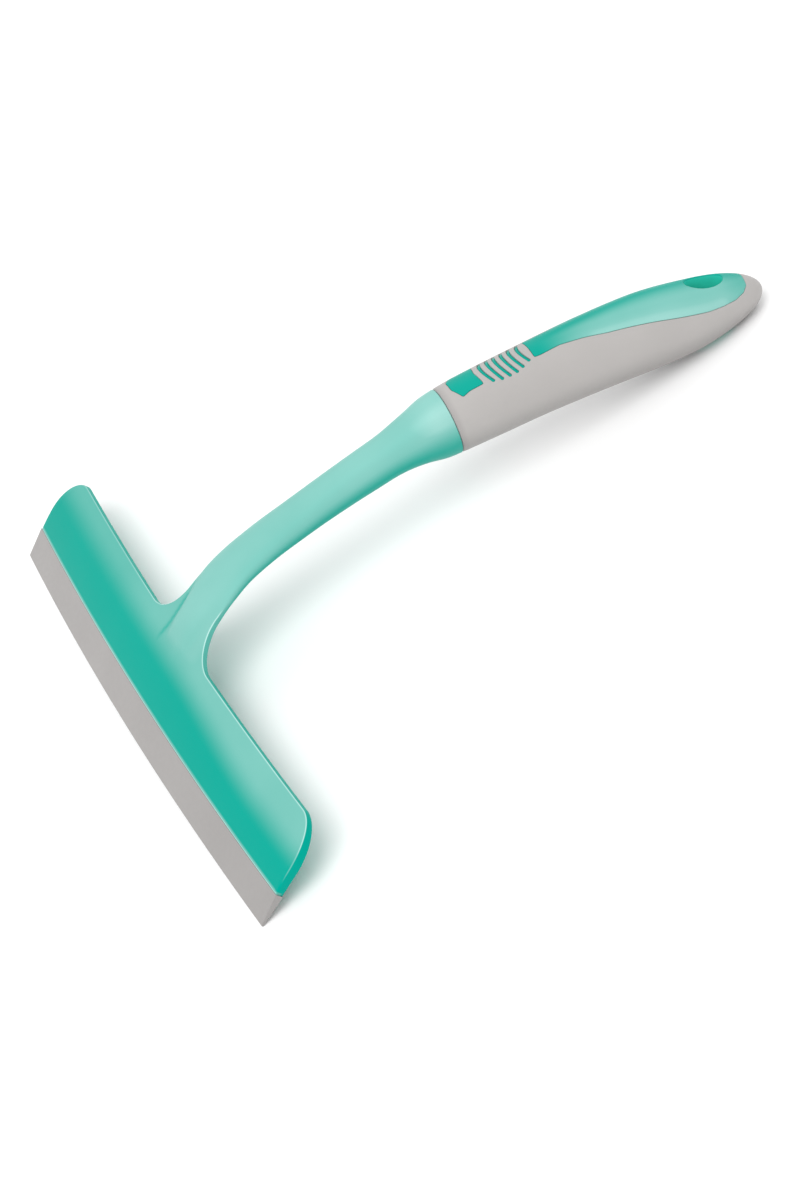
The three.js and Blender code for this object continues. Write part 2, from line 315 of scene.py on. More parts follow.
head = {
    "halfLength": 125.0,
    "height": 27.2,
    "thickness": 3.0,
    "topThickness": 2.4,
    "crown": 1.2,
    "seamAt": 0.697,  # where the plate meets the blade, along the middle line
    "bowOut": -3.5,  # where the ends lie: under the middle's plane
    "bowUp": 1.5,  # and up the slope from it
    "cornerLength": 13.0,
    "cornerHeight": 18.0,
    "filletLength": 15.0,  # from the top edge into the neck
    "filletHeight": 16.8,
    "edgeRadius": 0.5,
    "seamRadius": 0.25,
    "seamBand": 0.9,  # how far up from the seam its smaller radius is kept
    "ridgeHalfWidth": 9.8,  # the ridge is the neck's root, which runs out on the plate
    "ridgeWidens": 3.5,
    "ridgeWidensOver": (34, 56),
    "ridgeRise": [(8, -2.2), (16, -0.6), (22, 0.7), (30, 2.2), (38, 2.8), (48, 3.0), (60, 3.2)],
    "ridgeFall": 1.4,  # how far it falls below the plate at its half width
    "ridgeLeastFall": 0.4,
    "ridgeReach": 1.4,
    "ridgePower": 4,
    "ridgeBackShare": 0.7,
    "crease": 0.5,  # softness of the line where ridge and plate meet
    "neckOver": (37.0, 64.0),  # up the plate, from flat plate to plain oval
    "joinsNeckAt": 62.7,
    "collarRadius": 0.4,
    "endGap": 0.05,  # from the collar to the grip
    "lastRow": 0.55,  # the neck's rows end this far before the grip
    "lastRowsFrom": 0.9,
    "rowStep": 0.95,
    "spacing": 1.25,  # between the free points on the plate
    "rowShare": 0.9,  # their rows are this much closer
    "clearShare": 0.6,  # and they keep this far from the outline
    "firstRow": 0.8,
    "plateTurns": [0, 14, 30, 47, 66, 90],  # round the plate's edge, in degrees
    "neckTurns": [0, 8, 17, 27, 38, 50],  # the same rows round the neck's side
    "topTurn": 32,  # the last row over the neck's top, from this angle to its other side
    "topTurnStep": 8,
    "outline": {"seam": 101, "end": 9, "corner": 22, "top": 70, "fillet": 26, "neck": 26},  # points
}


def upPlate(y):
    # distance up the plate from the seam, for a place along the middle line
    return (np.asarray(y, float) - head["seamAt"]) / math.cos(tilt)


def alongPlate(u):
    return np.asarray(u, float) * math.cos(tilt) + head["seamAt"]


def onHead(x, y, t):
    # x across, y along the middle line, t out of it; the ends bow down and back
    share = (x / head["halfLength"]) ** 2
    return onSection(y + head["bowUp"] * share * math.cos(tilt), x, t + head["bowOut"] * share)


def headSide():
    # the right side of the outline, from the middle of the seam to the neck
    s, count = head, head["outline"]
    base, top, bend = 0.0, s["height"] - s["cornerHeight"], s["height"] + s["filletHeight"]
    points = [(x, alongPlate(base)) for x in np.linspace(0, s["halfLength"], count["seam"])]
    points += [(s["halfLength"], alongPlate(u)) for u in np.linspace(base, top, count["end"])[1:]]
    for a in quarter(count["corner"])[1:]:
        x = s["halfLength"] - s["cornerLength"] * (1 - math.cos(a))
        points.append((x, alongPlate(top + s["cornerHeight"] * math.sin(a))))
    neckAt = float(halfWidth(alongPlate(bend)))
    edge = np.linspace(s["halfLength"] - s["cornerLength"], neckAt + s["filletLength"], count["top"])
    points += [(x, alongPlate(s["height"])) for x in edge[1:]]
    for a in quarter(count["fillet"])[1:]:
        u = s["height"] + s["filletHeight"] * (1 - math.cos(a))
        points.append((neckAt + s["filletLength"] * (1 - math.sin(a)), alongPlate(u)))
    ys = np.linspace(alongPlate(bend), s["joinsNeckAt"], count["neck"])[1:]
    points += [(float(halfWidth(y)), y) for y in ys]
    return np.array(points)


def neckShare(y):
    # 0 on the plate, 1 where the neck has become a plain oval
    return smoothStep(*head["neckOver"], upPlate(y))


def headFaces(x, y):
    # how far the front and the back lie from the middle line away from the rounded edge
    s = head
    u = upPlate(y)
    share = np.clip(u / s["height"], 0, 1)
    front = s["thickness"] / 2 + s["crown"] * 4 * share * (1 - share)
    back = -s["thickness"] / 2 + (s["thickness"] - s["topThickness"]) * share
    wide = s["ridgeHalfWidth"] + s["ridgeWidens"] * smoothStep(*s["ridgeWidensOver"], u)
    rise = through(s["ridgeRise"], np.clip(u, s["ridgeRise"][0][0], s["ridgeRise"][-1][0]))
    fall = np.maximum(rise + s["ridgeFall"], s["ridgeLeastFall"])
    fall = fall * np.clip(np.abs(x) / wide, 0, s["ridgeReach"]) ** s["ridgePower"]
    ridge = s["thickness"] / 2 + rise - fall
    under = -(s["thickness"] / 2 + s["ridgeBackShare"] * rise - fall)
    front = 0.5 * (front + ridge + np.sqrt((front - ridge) ** 2 + s["crease"] ** 2))
    back = 0.5 * (back + under - np.sqrt((back - under) ** 2 + s["crease"] ** 2))
    return front, back


def headSurface(x, y, inset, radius, sign):
    # a point of the front (sign 1) or the back (sign -1), at some distance in from the outline
    front, back = headFaces(x, y)
    crown = front if sign > 0 else -back
    lift = np.sqrt(np.clip(1 - (1 - np.clip(inset / radius, 0, 1)) ** 2, 0, 1))
    plate = crown - radius * (1 - lift)
    late = np.maximum(y, handle["ovalFrom"])
    oval = halfHeight(late) * np.sqrt(np.clip(1 - (x / halfWidth(late)) ** 2, 0, 1))
    share = neckShare(y)
    return onHead(x, y, sign * (plate * (1 - share) + oval * share))


def outlineDistance(points, line):
    # how far free points lie from an open line
    best = np.full(len(points), 1e9)
    for a, b in zip(line[:-1], line[1:]):
        d = b - a
        t = np.clip(((points - a) @ d) / max(d @ d, 1e-12), 0, 1)
        best = np.minimum(best, np.linalg.norm(points - a - t[:, None] * d, axis=1))
    return best


def makeHead():
    s = head
    right = headSide()
    left = right[1:][::-1] * [-1, 1]
    line = np.vstack([left, right])  # from the neck's left side round to its right side
    n = len(line)
    join = s["joinsNeckAt"]
    wide = float(halfWidth(join))
    turns = np.radians(s["neckTurns"])
    rest = np.radians(np.arange(s["topTurn"], -s["topTurn"] - 1, -s["topTurnStep"]))
    endRow = np.stack([wide * np.sin(rest), np.full(len(rest), join)], 1)
    normals = outward(np.vstack([line, endRow]))[:n]
    normals[[0, -1]] = [(-1, 0), (1, 0)]
    seamRow = line[:, 1] < alongPlate(0) + hair
    normals[seamRow] = (0, -1)
    corners = seamRow & (np.abs(line[:, 0]) > s["halfLength"] - hair)
    normals[corners, 0] = np.sign(line[corners, 0])
    onNeck = line[:, 1] > alongPlate(s["height"] + s["filletHeight"])
    radius = np.where(seamRow & ~corners, s["seamRadius"], s["edgeRadius"])
    share = neckShare(line[:, 1])
    neckWidth = halfWidth(np.maximum(line[:, 1], handle["ovalFrom"]))
    reach = s["edgeRadius"] + (neckWidth - s["edgeRadius"]) * share
    rings, insets = [], []
    for plate, neck in zip(np.radians(s["plateTurns"]), turns):
        inset = radius * (1 - math.cos(plate)) * (1 - share) + reach * (1 - math.cos(neck)) * share
        ring = line - normals * inset[:, None]
        ring[onNeck, 1] = line[onNeck, 1]
        rings.append(ring)
        insets.append(inset)
    outer = np.vstack([rings[-1], endRow])
    # free points in staggered rows
    xs = np.arange(-s["halfLength"], s["halfLength"] + s["spacing"] / 2, s["spacing"])
    ys = np.arange(s["firstRow"], join, s["spacing"] * s["rowShare"])
    free = np.array([(x + (s["spacing"] / 2 if k % 2 else 0), y) for k, y in enumerate(ys) for x in xs])
    inner, triangles = fillFlat(outer, [], free, s["spacing"] * s["clearShare"])
    depth = outlineDistance(inner, line)
    nearSeam = inner[:, 1] < alongPlate(0) + s["seamBand"]
    depth[:n] = insets[-1]
    innerRadius = np.where(nearSeam, s["seamRadius"], s["edgeRadius"])
    innerRadius[:n] = radius
    shell = Shell()
    outerRows = []
    for sign in (1, -1):
        rows = [shell.add(headSurface(ring[:, 0], ring[:, 1], inset, radius, sign))
                for ring, inset in zip(rings, insets)]
        shell.chain(rows, n, closed=False)
        base = shell.add(headSurface(inner[:, 0], inner[:, 1], depth, innerRadius, sign))
        shell.fill(base, triangles)
        outerRows.append(rows[0])
    shell.strip(outerRows[0], outerRows[1], n, closed=False)
    # the neck is a tube that takes over the plate's own end row
    half = np.r_[math.pi / 2 - turns, rest, turns[::-1] - math.pi / 2]
    angles = np.r_[half, half[1:-1] - math.pi]
    ys = np.arange(join, handle["seam"] - s["lastRowsFrom"], s["rowStep"])
    ys = np.r_[ys, handle["seam"] - s["lastRow"]]
    rows = []
    for y in ys:
        y = np.full(len(angles), y)
        rows.append(shell.add(onHead(halfWidth(y) * np.sin(angles), y, halfHeight(y) * np.cos(angles))))
    r = s["collarRadius"]
    end = handle["seam"] - s["endGap"]
    for a in quarter(edgeSteps):
        y = np.full(len(angles), end - r + r * math.sin(a))
        drop = r * (1 - math.cos(a))
        x = (halfWidth(y) - drop) * np.sin(angles)
        rows.append(shell.add(onHead(x, y, (halfHeight(y) - drop) * np.cos(angles))))
    shell.chain(rows, len(angles))
    shell.fan(rows[-1], len(angles), onSpine(end))
    return shell.finish("head_and_neck_moulding")


blade = {
    "halfLength": 125.3,
    "height": 12.4,
    "thickness": 3.0,
    "frontGoesBack": 2.15,  # from the seam to the wiping edge
    "land": 0.8,  # thickness at the wiping edge
    "cornerRadius": 0.25,
    "cornerPoints": 4,
    "proud": 0.12,  # the blade stands this far out of the plate at the seam
    "seamGap": 0.03,
    "stations": 161,
}


def newTree(name, inputs):
    # an empty Geometry Nodes tree with its named inputs
    tree = bpy.data.node_groups.new(name, "GeometryNodeTree")
    tree.interface.new_socket("Geometry", in_out="INPUT", socket_type="NodeSocketGeometry")
    for label, kind, value in inputs:
        tree.interface.new_socket(label, in_out="INPUT", socket_type=kind).default_value = value
    tree.interface.new_socket("Geometry", in_out="OUTPUT", socket_type="NodeSocketGeometry")
    return tree


def addNode(tree, kind, **settings):
    node = tree.nodes.new(kind)
    for key, value in settings.items():
        setattr(node, key, value)
    return node


def mathNode(tree, operation, first, second):
    node = addNode(tree, "ShaderNodeMath", operation=operation)
    for socket, value in zip(node.inputs, (first, second)):
        if isinstance(value, (int, float)):
            socket.default_value = value
        else:
            tree.links.new(value, socket)
    return node.outputs[0]


def closeTree(tree, geometry):
    # every tree ends in Realize Instances and Set Material
    realize = addNode(tree, "GeometryNodeRealizeInstances")
    finish = addNode(tree, "GeometryNodeSetMaterial")
    out = addNode(tree, "NodeGroupOutput")
    tree.links.new(geometry, realize.inputs[0])
    tree.links.new(realize.outputs[0], finish.inputs["Geometry"])
    tree.links.new(finish.outputs[0], out.inputs[0])
    return finish


def applyTree(piece, tree, values, name):
    # runs the tree on an object and keeps the result as a plain mesh
    modifier = piece.modifiers.new("shape", "NODES")
    modifier.node_group = tree
    for item in tree.interface.items_tree:
        if item.in_out == "INPUT" and item.name in values:
            modifier[item.identifier] = values[item.name]
    graph = bpy.context.evaluated_depsgraph_get()
    graph.update()
    mesh = bpy.data.meshes.new_from_object(piece.evaluated_get(graph))
    piece.modifiers.clear()
    bpy.data.objects.remove(piece)
    mesh.name = name
    return finishMesh(mesh, name, merge=0.002)


def bladeTree(material):
    # a wedge section swept along the blade's bowed length
    tree = newTree("wiperBlade", [
        ("Half length", "NodeSocketFloat", 0.125), ("Bow out", "NodeSocketFloat", 0.0),
        ("Bow up", "NodeSocketFloat", 0.0), ("Stations", "NodeSocketInt", 32),
        ("Corner radius", "NodeSocketFloat", 0.0002), ("Corner points", "NodeSocketInt", 4),
        ("Slope", "NodeSocketFloat", 0.0),
        ("Seam front", "NodeSocketVector", (0, 0, 0)), ("Seam back", "NodeSocketVector", (0, 0, 0)),
        ("Edge back", "NodeSocketVector", (0, 0, 0)), ("Edge front", "NodeSocketVector", (0, 0, 0))])
    given = addNode(tree, "NodeGroupInput").outputs
    left = mathNode(tree, "MULTIPLY", given["Half length"], -1.0)
    ends = [addNode(tree, "ShaderNodeCombineXYZ") for _ in range(2)]
    tree.links.new(left, ends[0].inputs[0])
    tree.links.new(given["Half length"], ends[1].inputs[0])
    line = addNode(tree, "GeometryNodeCurvePrimitiveLine")
    tree.links.new(ends[0].outputs[0], line.inputs["Start"])
    tree.links.new(ends[1].outputs[0], line.inputs["End"])
    resample = addNode(tree, "GeometryNodeResampleCurve")
    tree.links.new(line.outputs[0], resample.inputs["Curve"])
    tree.links.new(given["Stations"], resample.inputs["Count"])
    # the bow grows with the square of the distance from the middle
    position = addNode(tree, "GeometryNodeInputPosition")
    split = addNode(tree, "ShaderNodeSeparateXYZ")
    tree.links.new(position.outputs[0], split.inputs[0])
    share = mathNode(tree, "DIVIDE", split.outputs[0], given["Half length"])
    share = mathNode(tree, "MULTIPLY", share, share)
    out = mathNode(tree, "MULTIPLY", share, given["Bow out"])
    up = mathNode(tree, "MULTIPLY", share, given["Bow up"])
    shift = addNode(tree, "ShaderNodeCombineXYZ")
    tree.links.new(up, shift.inputs[1])
    tree.links.new(out, shift.inputs[2])
    bow = addNode(tree, "GeometryNodeSetPosition")
    tree.links.new(resample.outputs[0], bow.inputs["Geometry"])
    tree.links.new(shift.outputs[0], bow.inputs["Offset"])
    section = addNode(tree, "GeometryNodeCurvePrimitiveQuadrilateral", mode="POINTS")
    for k, label in enumerate(("Seam front", "Seam back", "Edge back", "Edge front"), start=1):
        tree.links.new(given[label], section.inputs[f"Point {k}"])
    fillet = addNode(tree, "GeometryNodeFilletCurve", mode="POLY")
    tree.links.new(given["Corner points"], fillet.inputs["Count"])
    tree.links.new(section.outputs[0], fillet.inputs["Curve"])
    tree.links.new(given["Corner radius"], fillet.inputs["Radius"])
    sweep = addNode(tree, "GeometryNodeCurveToMesh")
    tree.links.new(bow.outputs[0], sweep.inputs["Curve"])
    tree.links.new(fillet.outputs[0], sweep.inputs["Profile Curve"])
    sweep.inputs["Fill Caps"].default_value = True
    turn = addNode(tree, "GeometryNodeTransform")
    tree.links.new(sweep.outputs[0], turn.inputs["Geometry"])
    angle = addNode(tree, "ShaderNodeCombineXYZ")
    tree.links.new(given["Slope"], angle.inputs[0])
    tree.links.new(angle.outputs[0], turn.inputs["Rotation"])
    finish = closeTree(tree, turn.outputs[0])
    finish.inputs["Material"].default_value = material
    return tree


def makeBlade(material):
    s = blade
    half = s["thickness"] / 2
    seam = -s["seamGap"]
    # the section is drawn as (out of the plate, up the plate)
    corners = {"Seam front": (half + s["proud"], seam), "Seam back": (-half, seam),
               "Edge back": (half - s["frontGoesBack"] - s["land"], -s["height"]),
               "Edge front": (half - s["frontGoesBack"], -s["height"])}
    # a swept section's own axes point down the plate and into it
    values = {name: (-up * mm, -out * mm, 0.0) for name, (out, up) in corners.items()}
    grow = (s["halfLength"] / head["halfLength"]) ** 2
    values.update({"Half length": s["halfLength"] * mm, "Bow out": head["bowOut"] * grow * mm,
                   "Bow up": head["bowUp"] * grow * mm, "Stations": s["stations"],
                   "Corner radius": s["cornerRadius"] * mm, "Corner points": s["cornerPoints"],
                   "Slope": tilt})
    carrier = bpy.data.objects.new("carrier", bpy.data.meshes.new("carrier"))
    bpy.context.scene.collection.objects.link(carrier)
    made = applyTree(carrier, bladeTree(material), values, "wiper_blade_lip")
    made.data.transform(Matrix.Translation(Vector((onSpine(alongPlate(0.0)) + place) * mm)))
    return made


# the grip's openings, as (place along the handle, angle from the top)
openings = {
    "window": [(151.2, 0), (151.2, 13), (153.6, 35), (156.6, 30.5), (162.2, 29), (161.2, 0)],
    "panel": [(182.3, 0), (182.3, 25.5), (184.5, 26.6), (192, 25.5), (201, 32), (209, 40), (217, 45.5),
              (223, 50), (233, 57.5), (241, 62.5), (247, 66.5), (253, 67.7), (258, 66), (262, 57),
              (264.2, 40), (264.8, 0)],
    "softness": 0.4,
    "spacing": 0.5,
}
slots = {
    "middle": [164.0, 167.1, 169.9, 172.8, 175.6, 178.7],
    "ends": [166.1, 169.2, 172.2, 175.0, 177.6, 180.6],
    "halfAngles": [34.5, 38.5, 39, 38.5, 34.5, 29.5],
    "width": 1.4,
    "spacing": 0.3,
    "linePoints": 60,
    "capPoints": 9,
}
hole = {
    "y": 250.4,
    "halfLength": 7.4,
    "halfWidth": 4.5,
    "rim": 0.7,
    "collar": 1.6,  # teal left free round the hole on the underside
    "points": 72,
    "rimSteps": 6,
    "wallRows": 12,
    "reach": 25.0,  # further from the middle line than the skin is anywhere
    "halvings": 32,
}
skin = {
    "walkFrom": 1.0,  # the walk over the crest starts this far before the seam
    "crestPoints": 900,
    "tailPoints": 1500,
    "step": 0.01,
    "cutAt": -110.0,  # the angle at which the skin is cut open to be laid flat
    "tailGap": 0.35,  # what the fan at the tip closes
    "tipGap": 0.01,
    "rounds": 10,
}


def tailTable():
    # places along the handle against the length walked over its crest and tail
    closeFrom = handle["heightClosesFrom"]
    c = np.linspace(1, 0, skin["tailPoints"])
    ys = closeFrom + (handle["tip"] - closeFrom) * np.clip(1 - c**2, 0, 1) ** (1 / handle["heightPower"])
    crestYs = np.linspace(handle["seam"] - skin["walkFrom"], closeFrom, skin["crestPoints"])
    ys = np.r_[crestYs[:-1], ys]
    crest = onOval(ys, np.zeros(len(ys)))
    walked = np.r_[0, np.cumsum(np.linalg.norm(np.diff(crest, axis=0), axis=1))]
    return ys, walked


tailYs, tailWalked = tailTable()


def walkedAt(y):
    return np.interp(y, tailYs, tailWalked)


def onSkin(walked, across, offset=0.0):
    # the handle's skin laid flat: the way walked over the crest, and the way round from the top
    def at(w, b):
        return onOval(np.interp(w, tailWalked, tailYs), b / handle["aroundRadius"])
    step = skin["step"]
    w = np.minimum(np.asarray(walked, float), tailWalked[-1] - 2 * step)
    b = np.asarray(across, float) + 0 * w
    point = at(w, b)
    alongIt = at(np.minimum(w + step, tailWalked[-1]), b) - at(w - step, b)
    aroundIt = at(w, b + step) - at(w, b - step)
    normal = np.cross(aroundIt, alongIt)
    size = np.linalg.norm(normal, axis=-1, keepdims=True)
    normal /= np.maximum(size, 1e-12)
    away = point - onSection(np.interp(w, tailWalked, tailYs), np.zeros(len(w)), np.zeros(len(w)))
    side = np.sign(np.sum(normal * away, axis=-1, keepdims=True))
    return point + normal * side * np.reshape(np.broadcast_to(offset, w.shape), (-1, 1))


def openingLoop(name):
    # both halves of an opening, as a closed loop on the flat skin
    half = [(float(walkedAt(y)), math.radians(a) * handle["aroundRadius"]) for y, a in openings[name]]
    other = [(w, -b) for w, b in reversed(half) if b > 0]
    return softened(np.array(half + other), openings["softness"], openings["spacing"])


def slotLine(k, count):
    # the middle line of a slot, curving slightly back towards its ends
    reach = math.radians(slots["halfAngles"][k]) * handle["aroundRadius"]
    b = np.linspace(-reach, reach, count)
    y = slots["middle"][k] + (slots["ends"][k] - slots["middle"][k]) * (b / reach) ** 2
    return np.stack([walkedAt(y), b], 1)


def slotLoop(k):
    half = slots["width"] / 2
    line = slotLine(k, slots["linePoints"])
    inside = np.abs(line[:, 1]) < abs(line[0, 1]) - half
    line = line[inside]
    front = line - [half, 0]
    back = (line + [half, 0])[::-1]
    turns = np.linspace(0, math.pi, slots["capPoints"])[1:-1]
    capHigh = [line[-1] + half * np.array([-math.cos(a), math.sin(a)]) for a in turns]
    capLow = [line[0] + half * np.array([math.cos(a), -math.sin(a)]) for a in turns]
    return evenly(np.vstack([front, capHigh, back, capLow]), slots["spacing"])


def inSection(points, y):
    # x and height within the cross-section at y, as shares of its half width and half height
    rise = spineRise(y)
    length = np.hypot(1, rise)
    up = -(points[:, 1] - y) * rise / length + (points[:, 2] - spineAt(y)) / length
    return points[:, 0] / np.maximum(halfWidth(y), tiny), up / np.maximum(halfHeight(y), tiny)


def sectionOf(points):
    # the place along the middle line whose cross-section holds each point
    y = points[:, 1].copy()
    for _ in range(skin["rounds"]):
        rise = spineRise(y)
        y += ((points[:, 1] - y) + (points[:, 2] - spineAt(y)) * rise) / (1 + rise * rise)
    return np.minimum(y, handle["tip"] - skin["tipGap"])


def holeRing(side, grow, drop=0.0):
    # where the oval hole, made wider by some length, meets the skin: its place on the skin and in space
    lean = math.atan(float(spineRise(hole["y"])))
    middle = onSpine(hole["y"])
    alongIt = np.array([0, math.cos(lean), math.sin(lean)])
    axis = np.array([0, -math.sin(lean), math.cos(lean)]) * side
    a = np.linspace(0, 2 * math.pi, hole["points"], endpoint=False)
    base = middle + np.outer((hole["halfLength"] + grow) * np.cos(a), alongIt)
    base[:, 0] += (hole["halfWidth"] + grow) * np.sin(a)
    low, high = np.zeros(len(a)), np.full(len(a), hole["reach"])
    for _ in range(hole["halvings"]):
        mid = (low + high) / 2
        points = base + mid[:, None] * axis
        x, up = inSection(points, sectionOf(points))
        inside = np.hypot(x, up) < 1
        low, high = np.where(inside, mid, low), np.where(inside, high, mid)
    points = base + low[:, None] * axis
    y = sectionOf(points)
    x, up = inSection(points, y)
    angle = np.arctan2(x, up)
    if side < 0:
        angle = np.where(angle < 0, angle + 2 * math.pi, angle)
    flat = np.stack([walkedAt(y), angle * handle["aroundRadius"]], 1)
    return flat, points - axis * drop


def flatSkin(first, spacing):
    # the border and the free points of the skin laid flat, cut open along one side
    last = tailWalked[-1] - skin["tailGap"]
    rows = np.linspace(first, last, int((last - first) / spacing))
    start = math.radians(skin["cutAt"]) * handle["aroundRadius"]
    wholeWay = 2 * math.pi * handle["aroundRadius"]
    across = np.linspace(start, start + wholeWay, int(round(wholeWay / spacing)) + 1)
    border = [(w, across[0]) for w in rows] + [(rows[-1], b) for b in across[1:-1]]
    border += [(w, across[-1]) for w in rows[::-1]] + [(rows[0], b) for b in across[1:-1][::-1]]
    free = np.array([(w, b) for w in rows[1:-1] for b in across[1:-1]])
    return np.array(border), free, rows, across


def ringAt(shell, walked, across, offset):
    # one row of points right round the handle
    return shell.add(onSkin(np.full(len(across) - 1, walked), across[:-1], offset))


def closeTail(shell, rows, across, offset):
    # a fan from the last row of the skin to the tip
    last = ringAt(shell, rows[-1], across, offset)
    tip = onSpine(handle["tip"])
    oneBefore = onSpine(handle["tip"] - 1.0)
    shell.fan(last, len(across) - 1, tip + (tip - oneBefore) * offset)


def cover(shell, border, holes, free, margin, offset=0.0):
    # fills the skin between a border and its holes, at some height over it
    flat, triangles = fillFlat(border, holes, free, margin)
    shell.fill(shell.add(onSkin(flat[:, 0], flat[:, 1], offset)), triangles)


grip = {
    "lip": 0.28,  # radius round the window, the panel and the hole
    "slotLip": 0.2,
    "thickness": 1.6,
    "spacing": 1.1,
    "clearShare": 0.55,
    "frontRadius": 0.7,
    "frontGap": 0.05,
}


def makeGrip():
    s = grip
    shell = Shell()
    lipLoops = [(openingLoop("window"), s["lip"]), (openingLoop("panel"), s["lip"])]
    lipLoops += [(slotLoop(k), s["slotLip"]) for k in range(len(slots["middle"]))]
    lipLoops.append((holeRing(-1, hole["collar"])[0], s["lip"]))
    outerHoles, innerHoles = [], []
    for loop, lip in lipLoops:
        away = outward(loop)
        rows = []
        for a in quarter(edgeSteps):
            ring = loop + away * lip * (1 - math.cos(a))
            rows.append(shell.add(onSkin(ring[:, 0], ring[:, 1], -lip * (1 - math.sin(a)))))
        rows.insert(0, shell.add(onSkin(loop[:, 0], loop[:, 1], -s["thickness"])))
        shell.chain(rows, len(loop))
        outerHoles.append(loop + away * lip)
        innerHoles.append(loop)
    r = s["frontRadius"]
    start = float(walkedAt(handle["seam"] + s["frontGap"]))
    border, free, rows, across = flatSkin(start + r, s["spacing"])
    margin = s["spacing"] * s["clearShare"]
    cover(shell, border, outerHoles, free, margin)
    closeTail(shell, rows, across, 0.0)
    # the rounded front end, then the inside
    ends = [ringAt(shell, start + r * (1 - math.cos(a)), across, -r * (1 - math.sin(a)))
            for a in quarter(edgeSteps)[::-1]]
    ends.append(ringAt(shell, start, across, -s["thickness"]))
    ends.append(ringAt(shell, start + r, across, -s["thickness"]))
    shell.chain(ends, len(across) - 1)
    cover(shell, border, innerHoles, free, margin, -s["thickness"])
    closeTail(shell, rows, across, -s["thickness"])
    return shell.finish("soft_grip")


core = {
    "gap": 0.1,  # to the grip, round every opening
    "edge": 0.25,  # radius of the core's own edges there
    "hidden": -1.7,  # how far under the grip's skin the hidden part lies
    "frontGap": 0.4,
    "spacing": 0.9,
    "clearShare": 0.55,
    "hiddenSpacing": 1.6,
    "hiddenClearShare": 0.5,
}


def makeCore():
    s = core
    shell = Shell()
    hidden = s["hidden"]
    topHole, bottomHole = holeRing(1, hole["rim"]), holeRing(-1, hole["rim"])
    islands = [(openingLoop("window"), []), (openingLoop("panel"), [topHole[0]]),
               (holeRing(-1, hole["collar"])[0], [bottomHole[0]])]
    holes = []
    for loop, inside in islands:
        away = outward(loop)
        foot = loop - away * s["gap"]
        holes.append(foot)
        rows = [shell.add(onSkin(foot[:, 0], foot[:, 1], hidden))]
        for a in quarter(edgeSteps):
            ring = foot - away * s["edge"] * (1 - math.cos(a))
            rows.append(shell.add(onSkin(ring[:, 0], ring[:, 1], -s["edge"] * (1 - math.sin(a)))))
        shell.chain(rows, len(loop))
        low, high = ring.min(axis=0), ring.max(axis=0)
        free = np.array([(w, b) for w in np.arange(low[0], high[0], s["spacing"])
                         for b in np.arange(low[1], high[1], s["spacing"])])
        cover(shell, ring, inside, free, s["spacing"] * s["clearShare"])
    front = handle["seam"] + s["frontGap"]
    start = float(walkedAt(front))
    border, free, rows, across = flatSkin(start, s["hiddenSpacing"])
    cover(shell, border, holes, free, s["hiddenSpacing"] * s["hiddenClearShare"], hidden)
    closeTail(shell, rows, across, hidden)
    shell.fan(ringAt(shell, start, across, hidden), len(across) - 1, onSpine(front))
    # the hanging hole: a rounded rim at both ends and a straight wall between
    top, bottom = [], []
    for a in quarter(hole["rimSteps"]):
        grow, drop = hole["rim"] * (1 - math.cos(a)), hole["rim"] * (1 - math.sin(a))
        top.append(shell.add(holeRing(1, grow, drop)[1]))
        bottom.append(shell.add(holeRing(-1, grow, drop)[1]))
    top.append(shell.add(onSkin(topHole[0][:, 0], topHole[0][:, 1])))
    bottom.append(shell.add(onSkin(bottomHole[0][:, 0], bottomHole[0][:, 1])))
    upper, lower = holeRing(1, 0, hole["rim"])[1], holeRing(-1, 0, hole["rim"])[1]
    walls = [shell.add(upper * (1 - t) + lower * t) for t in np.linspace(0, 1, hole["wallRows"])]
    for rows in (top, bottom, walls):
        shell.chain(rows, hole["points"])
    return shell.finish("handle_core_moulding")


def ribTree(material):
    # an oval bar swept along each rib's own line
    tree = newTree("thumbRibs", [
        ("Half width", "NodeSocketFloat", 0.0005), ("Half depth", "NodeSocketFloat", 0.0005),
        ("Around", "NodeSocketInt", 16)])
    given = addNode(tree, "NodeGroupInput").outputs
    lines = addNode(tree, "GeometryNodeMeshToCurve")
    tree.links.new(given["Geometry"], lines.inputs[0])
    circle = addNode(tree, "GeometryNodeCurvePrimitiveCircle")
    circle.inputs["Radius"].default_value = 1.0
    tree.links.new(given["Around"], circle.inputs["Resolution"])
    size = addNode(tree, "ShaderNodeCombineXYZ")
    tree.links.new(given["Half depth"], size.inputs[0])
    tree.links.new(given["Half width"], size.inputs[1])
    size.inputs[2].default_value = 1.0
    oval = addNode(tree, "GeometryNodeTransform")
    tree.links.new(circle.outputs[0], oval.inputs["Geometry"])
    tree.links.new(size.outputs[0], oval.inputs["Scale"])
    sweep = addNode(tree, "GeometryNodeCurveToMesh")
    tree.links.new(lines.outputs[0], sweep.inputs["Curve"])
    tree.links.new(oval.outputs[0], sweep.inputs["Profile Curve"])
    sweep.inputs["Fill Caps"].default_value = True
    finish = closeTree(tree, sweep.outputs[0])
    finish.inputs["Material"].default_value = material
    return tree


ribs = {
    "crest": -0.3,  # the ribs' tops lie this far under the grip's skin
    "halfWidth": 0.64,
    "halfDepth": 0.85,
    "lengthShare": 0.985,
    "points": 49,
    "around": 24,
}


